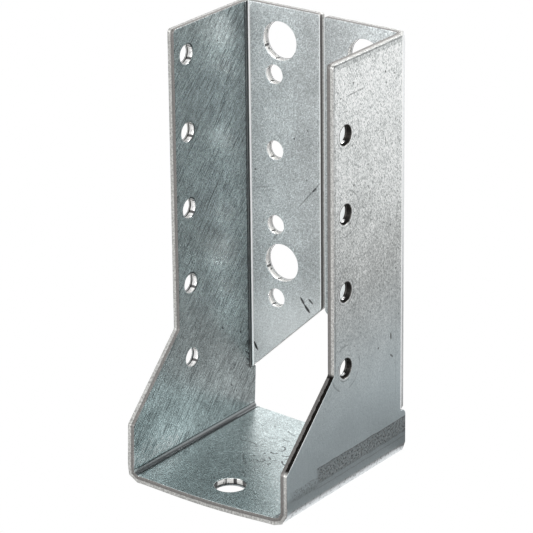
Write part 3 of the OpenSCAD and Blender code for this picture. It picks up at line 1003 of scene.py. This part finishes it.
# A fainter scuffed band in front of the strip
faint = outer.both(
    outer.step(wavy, across_at(1, 6.2), across_at(1, 6.8)), outer.step(wavy, across_at(1, 9.6), across_at(1, 9.0)),
    outer.step(along, -12.5, -14.5), outer.step(along, -25.5, -22.0),
)
outer.tint(faint, DARK_ZINC_AND_SHADE, 0.16).tint(outer.both(faint, gouge), PIT_AND_SHADE_BLACK, 0.35)
ends = outer.step(along, -14.5, -12.5)
for line, width, strength in ((strip_high - 0.1, 0.16, 0.45), (strip_low - 0.1, 0.16, 0.3), (strip_low - 1.3, 0.14, 0.3)):
    strip_line = outer.effect(CREASE, Across=wavy, Place=blank, Line=(line + 0.3) * MM, Width=width * MM)
    outer.tint(outer.both(strip_line, ends), PIT_AND_SHADE_BLACK, strength)
# Painted shade: the backs of the flanges are darker
outer.shade(outer.step(along, FLANGE_START - 0.3, FLANGE_START + 0.3), 1.0, 0.74)
# Painted shade on the rolled-over rim below the sheared top edge, and a painted highlight at the start of the flange
# fold
rim_z = across_at(1, TOP_Z[1])
outer.tint(outer.step(across, rim_z - 1.7, rim_z - 1.4), DARK_ZINC_AND_SHADE, 0.3)
rim_shade_line = outer.effect(CREASE, Across=across, Place=blank, Line=(rim_z - 0.35) * MM, Width=0.25 * MM)
outer.tint(rim_shade_line, PIT_AND_SHADE_BLACK, 0.5)
above_root = outer.step(calc(outer.tree, "ABSOLUTE", across), across_at(1, FLANGE_ROOT_Z), across_at(1, FLANGE_ROOT_Z + 0.3))
fold_start_highlight = outer.both(
    outer.step(along, FLANGE_BEND_Y - 0.45, FLANGE_BEND_Y - 0.3), above_root,
    outer.step(along, FLANGE_START + 0.2, FLANGE_START - 0.4),
)
outer.tint(fold_start_highlight, (1.0, 1.0, 1.0), 0.9).less_metallic(fold_start_highlight, 0.7)
# The dark line beside the upright front edge of the right plate
front_line = outer.effect(CREASE, Across=along, Place=blank, Line=(PLATE_FRONT_Y + 0.45) * MM, Width=0.24 * MM)
outer.tint(outer.both(front_line, outer.step(across, across_at(1, 33), across_at(1, 34))), PIT_AND_SHADE_BLACK, 0.5)
# Painted highlight on the outer corner of the sloping edge
slope_highlight = outer.effect(
    STROKE, Place=blank, Width=0.5 * MM, From=(across_at(1, 14.2) * MM, -25.9 * MM, 0), To=(across_at(1, 33.3) * MM, -6.1 * MM, 0)
)
outer.tint(slope_highlight, (1.0, 1.0, 1.0), 0.95).less_metallic(slope_highlight, 0.9)

fold = Finish("stretched zinc at the folds", (0.86, 0.885, 0.89), 0.28)
place = fold.place()
fold.shade(fold.effect(GRAIN, Place=place, Grain_size=0.0005), 0.88, 1.08)
along = fold.axes(fold.blank())[1]
# Painted shade in the half of a flange fold that meets the side plate
x, _, z = fold.axes(place)
off_middle = calc(fold.tree, "ABSOLUTE", x)
fold_middle = (FLANGE_BEND_Y + FLANGE_START) / 2 + 0.2
fold.tint(
    fold.both(
        fold.step(along, FLANGE_BEND_Y - 0.1, FLANGE_BEND_Y + 0.2), fold.step(along, fold_middle, fold_middle - 0.15),
        fold.step(z, 13.0, 14.0), fold.step(off_middle, 22.7, 22.6),
    ), PIT_AND_SHADE_BLACK, 0.86,
)
# Painted highlight along the middle of each flange fold
fold_highlight = fold.both(
    fold.step(along, fold_middle, fold_middle + 0.15), fold.step(z, 13.0, 14.0), fold.step(off_middle, 22.7, 22.6)
)
fold.tint(fold_highlight, (1.0, 1.0, 1.0), 0.9).less_metallic(fold_highlight, 0.5)
stretch = fold.effect(DRAG, Place=fold.blank(), Direction=0.0, Length=0.004, Width=0.0002, Share=0.3)
# Painted shade in the inner bends of the seat, darkest low in the left one
channel_bend_shade = fold.both(fold.step(off_middle, 22.6, 22.5), fold.step(z, 1.9, 2.0), fold.step(z, 8.0, 7.0))
fold.tint(channel_bend_shade, (0.26, 0.28, 0.285), 0.85).tint(fold.both(channel_bend_shade, fold.step(x, 0, -5), fold.step(z, 2.75, 2.3)), (0.06, 0.065, 0.068), 0.85)
outer_bend = fold.both(fold.step(x, 20.0, 20.5), fold.step(z, 4.5, 4.2))
under = fold.both(outer_bend, fold.step(z, 1.3, 2.2))
# Painted reflection of the white floor on the lowest part of the right outer bend
fold.tint(fold.both(outer_bend, fold.step(z, 1.9, 1.0)), (1.0, 1.0, 1.0), 0.95)
speckle = fold.effect(GRAIN, out=1, Place=place, Speck_size=0.0006, Speck_share=0.35)
fold.tint(under, (0.45, 0.48, 0.5), 0.7).tint(fold.both(under, speckle), DARK_ZINC_AND_SHADE, 0.5).tint(stretch, DARK_ZINC_AND_SHADE, 0.3).dent(fold.effect(CLOUD, Place=place, Cloud_size=0.0015), 8.0)
fold.marks(fold.blank(), [(on_left_flange(-21.9, 20.8), on_left_flange(-20.6, 18.6), 0.55, 1.0)])

# Sheared edges: a torn half on the inner side, a smooth half on the outer side
edge = Finish("sheared steel edge", (0.52, 0.52, 0.505), 0.34)
run = edge.cut()
depth = edge.axes(run)[1]
x, y, z = edge.axes(edge.place())
tear = edge.effect(DRAG, Place=run, Direction=math.pi / 2, Length=0.0016, Width=0.00035, Share=0.55)
specks = edge.effect(GRAIN, Place=edge.place(), Grain_size=0.0005)
torn = edge.step(depth, 1.12, 0.9)
edge.shade(specks, 0.6, 1.2).tint(torn, CUT_STEEL, 0.9)
edge.tint(edge.both(torn, specks), (0.28, 0.265, 0.26), 0.5)
slope_right = edge.both(edge.step(x, 15.0, 16.0), edge.step(y, -5.6, -6.4), edge.step(z, 14.0, 15.0), edge.step(z, 33.6, 33.0))
edge.tint(tear, CUT_STEEL, 0.35)
edge.tint(edge.step(depth, 0.14, 0.06), PIT_AND_SHADE_BLACK, 0.7).tint(edge.step(depth, 1.86, 1.94), PIT_AND_SHADE_BLACK, 0.6)
ragged = calc(edge.tree, "MULTIPLY_ADD", noise_at(edge.tree, run, 0.0012, 2.0, 0.6), 0.5 * MM, depth)
edge.tint(edge.both(slope_right, edge.step(ragged, 1.15, 1.3)), (0.006, 0.005, 0.004), 0.99)
edge.tint(edge.both(slope_right, edge.step(z, 32.3, 32.6)), (0.006, 0.005, 0.004), 0.9)
edge.dull(slope_right, 0.3)
edge.dull(specks, 0.12).dull(torn, 0.12).dent(specks, 14.0).dent(tear, -12.0)

# Hole walls: smooth where the punch cut, torn behind that. Those of the right plate are nearly black
wall = Finish("punched hole wall", (0.88, 0.88, 0.86), 0.27)
run = wall.cut()
depth = wall.axes(run)[1]
x, y, z = wall.axes(wall.place())
tear = wall.effect(DRAG, Place=run, Direction=math.pi / 2, Length=0.0024, Width=0.0007, Share=0.5)
broken = wall.step(depth, 0.85, 1.0)
wall.tint(broken, (0.50, 0.48, 0.46), 0.2).tint(wall.both(tear, calc(wall.tree, "MULTIPLY_ADD", broken, 0.5, 0.5)), PIT_AND_SHADE_BLACK, 0.85)
in_right = wall.both(wall.step(x, 21.0, 22.0), wall.step(y, 10.0, 8.0))
wall.tint(wall.both(in_right, wall.step(depth, 1.8, 1.7)), (0.014, 0.012, 0.011), 0.97)
# Painted highlights and shade: bright bands in the walls of the right plate's holes, paler walls in the left plate's
# holes, and dark spots where the wall turns out of sight: in the left plate, then in the flanges
way_round = wall.axes(run)[0]
in_left = wall.both(wall.step(x, -21.0, -22.0), wall.step(y, 10.0, 8.0))
for low, high, limit in ((8.2, 9.5, 1.0), (13.9, 14.7, 0.9)):
    wall_highlight = wall.both(in_right, wall.step(way_round, low, low + 0.2), wall.step(way_round, high, high - 0.2), wall.step(depth, limit, limit - 0.2))
    wall.tint(wall_highlight, (1.0, 1.0, 1.0), 0.95)
wall.tint(in_left, (1.0, 1.0, 1.0), 0.6)
in_flange = wall.step(y, 22.0, 23.0)
for here, at, half in ((in_left, 10.2, 0.3), (in_left, 13.5, 0.45), (in_flange, 5.8, 0.4), (in_flange, 12.4, 0.5), (in_flange, 1.4, 0.3)):
    shade_and_tear = wall.both(here, wall.step(way_round, at - half, at - half / 2), wall.step(way_round, at + half, at + half / 2))
    wall.tint(shade_and_tear, PIT_AND_SHADE_BLACK, 0.9)
# The wall of the seat's hole: torn dark between its smooth white parts, and along its lower rim
in_seat = wall.step(z, 2.5, 2.2)
for at, half in ((11.4, 1.4), (15.2, 0.2), (17.5, 0.5), (20.6, 1.0)):
    shade_and_tear = wall.both(in_seat, wall.step(way_round, at - half, at - half * 0.8), wall.step(way_round, at + half, at + half * 0.8))
    wall.tint(shade_and_tear, PIT_AND_SHADE_BLACK, 0.92)
wall.tint(wall.both(in_seat, wall.step(depth, 1.3, 1.5)), PIT_AND_SHADE_BLACK, 0.85)
wall.tint(wall.step(depth, 1.85, 1.93), PIT_AND_SHADE_BLACK, 0.5).tint(wall.both(in_left, wall.step(depth, 1.45, 1.6)), (0.012, 0.011, 0.01), 0.97).dull(broken, 0.1).dent(tear, -15.0)

burr = Finish("dark punch burr", (0.07, 0.065, 0.06), 0.45, 0.9)
burr.shade(burr.effect(GRAIN, Place=burr.place(), Grain_size=0.0004), 0.6, 1.6)

finishes = [f.done() for f in (inner, outer, flange, fold, edge, wall)]


# Pieces

flat_sheet = blank_mesh()
for material in finishes:
    flat_sheet.materials.append(material)
hanger = folded_piece("joist_hanger_sheet", flat_sheet, sheet_tree(finishes), FOLD_SIZES)
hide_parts("joist_hanger")
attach(hanger, "root")

hole_points = bpy.data.meshes.new("hole_points")
hole_points.from_pydata([(a * MM, b * MM, 0) for a, b, r in hole_centres()], [], [])
radii = [r * MM for a, b, r in hole_centres()]
hole_points.attributes.new("radius", "FLOAT", "POINT").data.foreach_set("value", radii)
burr_sizes = {**FOLD_SIZES, "Burr thickness": 0.06 * MM, "Burr depth": 1.96 * MM}
burrs = folded_piece("punch_burrs", hole_points, burr_tree(burr.done()), burr_sizes)
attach(burrs, "root")


# Studio

# How bright the floor is in the hanger's mirror image: distance from its foot in metres, level
FLOOR_PEAK = 1.35
RIGHT_FLOOR = [(0.0, 1.35), (0.0018, 1.25), (0.0045, 0.24), (0.026, 0.27), (0.05, 0.53), (0.095, 0.4), (0.17, 0.75), (0.27, 1.0)]
OTHER_FLOOR = [(0.0, 0.8), (0.004, 1.0), (0.27, 1.0), (0.42, 0.6), (0.57, 0.45)]
FLOOR_REACH = 0.6


def for_rays(tree, kinds):
    """1 for these kinds of ray and 0 for the rest."""
    path = put(tree, "ShaderNodeLightPath").outputs
    total = path[f"Is {kinds[0]} Ray"]
    for kind in kinds[1:]:
        total = calc(tree, "MAXIMUM", total, path[f"Is {kind} Ray"])
    return total


def level_by_distance(tree, distance, stops):
    """A ramp of grey levels over a distance."""
    feeds = {0: calc(tree, "DIVIDE", distance, FLOOR_REACH)}
    node = put(tree, "ShaderNodeValToRGB", feeds)
    points = node.color_ramp.elements
    while len(points) < len(stops):
        points.new(0.5)
    for point, (at, level) in zip(points, stops):
        point.position = at / FLOOR_REACH
    for point, (at, level) in zip(points, stops):
        point.color = (level / FLOOR_PEAK, level / FLOOR_PEAK, level / FLOOR_PEAK, 1)
    return node.outputs[0]


def floor_with_paint():
    """A floor that the camera sees white, and whose mirror image is shaded round the hanger's foot."""
    mesh = bpy.data.meshes.new("floor")
    z = -(SEAT_SAG + 0.1) * MM
    mesh.from_pydata([(-3, -3, z), (3, -3, z), (3, 3, z), (-3, 3, z)], [], [(0, 1, 2, 3)])
    floor = bpy.data.objects.new("floor", mesh)
    scene.collection.objects.link(floor)
    paint = Finish("white floor", (0.9, 0.9, 0.9), 0.9, 0.0)
    tree = paint.tree
    place = paint.place()
    size = put(tree, "ShaderNodeVectorMath", {0: place}, operation="LENGTH").outputs["Value"]
    off = put(tree, "ShaderNodeVectorMath", {0: place}, operation="ABSOLUTE").outputs[0]
    off = put(tree, "ShaderNodeVectorMath", {0: off, 1: (HALF_W * MM, BACK_Y * MM, 0)}, operation="SUBTRACT").outputs[0]
    off = put(tree, "ShaderNodeVectorMath", {0: off, 1: (0, 0, 0)}, operation="MAXIMUM").outputs[0]
    far = put(tree, "ShaderNodeVectorMath", {0: off}, operation="LENGTH").outputs["Value"]
    way = put(tree, "ShaderNodeVectorMath", {0: place, 1: (0.966, 0.259, 0)}, operation="DOT_PRODUCT").outputs["Value"]
    to_right = smooth_step(tree, calc(tree, "DIVIDE", way, size), 0.1, 0.4)
    feeds = {
        0: to_right, 6: level_by_distance(tree, far, OTHER_FLOOR), 7: level_by_distance(tree, far, RIGHT_FLOOR),
    }
    shade = put(tree, "ShaderNodeMix", feeds, data_type="RGBA").outputs[2]
    # Plain white behind the hanger, so that edges that turn away fade into the background
    way = put(tree, "ShaderNodeVectorMath", {0: place, 1: (-0.58, 0.81, 0)}, operation="DOT_PRODUCT").outputs["Value"]
    behind = smooth_step(tree, calc(tree, "DIVIDE", way, size), 0.7, 0.85)
    feeds = {0: behind, 6: shade, 7: (1 / FLOOR_PEAK, 1 / FLOOR_PEAK, 1 / FLOOR_PEAK, 1)}
    shade = put(tree, "ShaderNodeMix", feeds, data_type="RGBA").outputs[2]
    mirrored = put(tree, "ShaderNodeEmission", {"Color": shade, "Strength": FLOOR_PEAK}).outputs[0]
    white = put(tree, "ShaderNodeEmission", {"Strength": 1.0}).outputs[0]
    glossy = for_rays(tree, ["Glossy"])
    seen = put(tree, "ShaderNodeMixShader", {0: glossy, 1: paint.surface.outputs[0], 2: mirrored}).outputs[0]
    direct = for_rays(tree, ["Camera", "Transmission"])
    seen = put(tree, "ShaderNodeMixShader", {0: direct, 1: seen, 2: white}).outputs[0]
    tree.links.new(seen, next(n for n in tree.nodes if n.type == "OUTPUT_MATERIAL").inputs[0])
    mesh.materials.append(paint.material)


def soft_lamp(name, azimuth, elevation, distance, size, power, target=(0, 0, 0.06)):
    """A square lamp that faces the hanger, placed by its angle to the right of the front and its height."""
    data = bpy.data.lights.new(name, "AREA")
    data.shape = "SQUARE"
    data.size = size
    data.energy = power
    lamp = bpy.data.objects.new(name, data)
    scene.collection.objects.link(lamp)
    a, e = math.radians(azimuth), math.radians(elevation)
    way = Vector((math.sin(a) * math.cos(e), -math.cos(a) * math.cos(e), math.sin(e)))
    lamp.location = Vector(target) + way * distance
    lamp.rotation_euler = way.to_track_quat("Z", "Y").to_euler()


floor_with_paint()
soft_lamp("front lamp", -10, 10, 0.9, 1.1, 8)
soft_lamp("back lamp", 180, 60, 0.9, 0.4, 8)

world = bpy.data.worlds.new("studio")
scene.world = world
world.use_nodes = True
sky = world.node_tree
sky.nodes.clear()
level = put(sky, "ShaderNodeBackground", {0: (1, 1, 1, 1), 1: 0.6}).outputs[0]
white = put(sky, "ShaderNodeBackground", {0: (1, 1, 1, 1), 1: 1.0}).outputs[0]
seen = put(sky, "ShaderNodeMixShader", {0: for_rays(sky, ["Camera", "Glossy", "Transmission"]), 1: level, 2: white}).outputs[0]
put(sky, "ShaderNodeOutputWorld", {0: seen})
scene.view_settings.view_transform = "Standard"
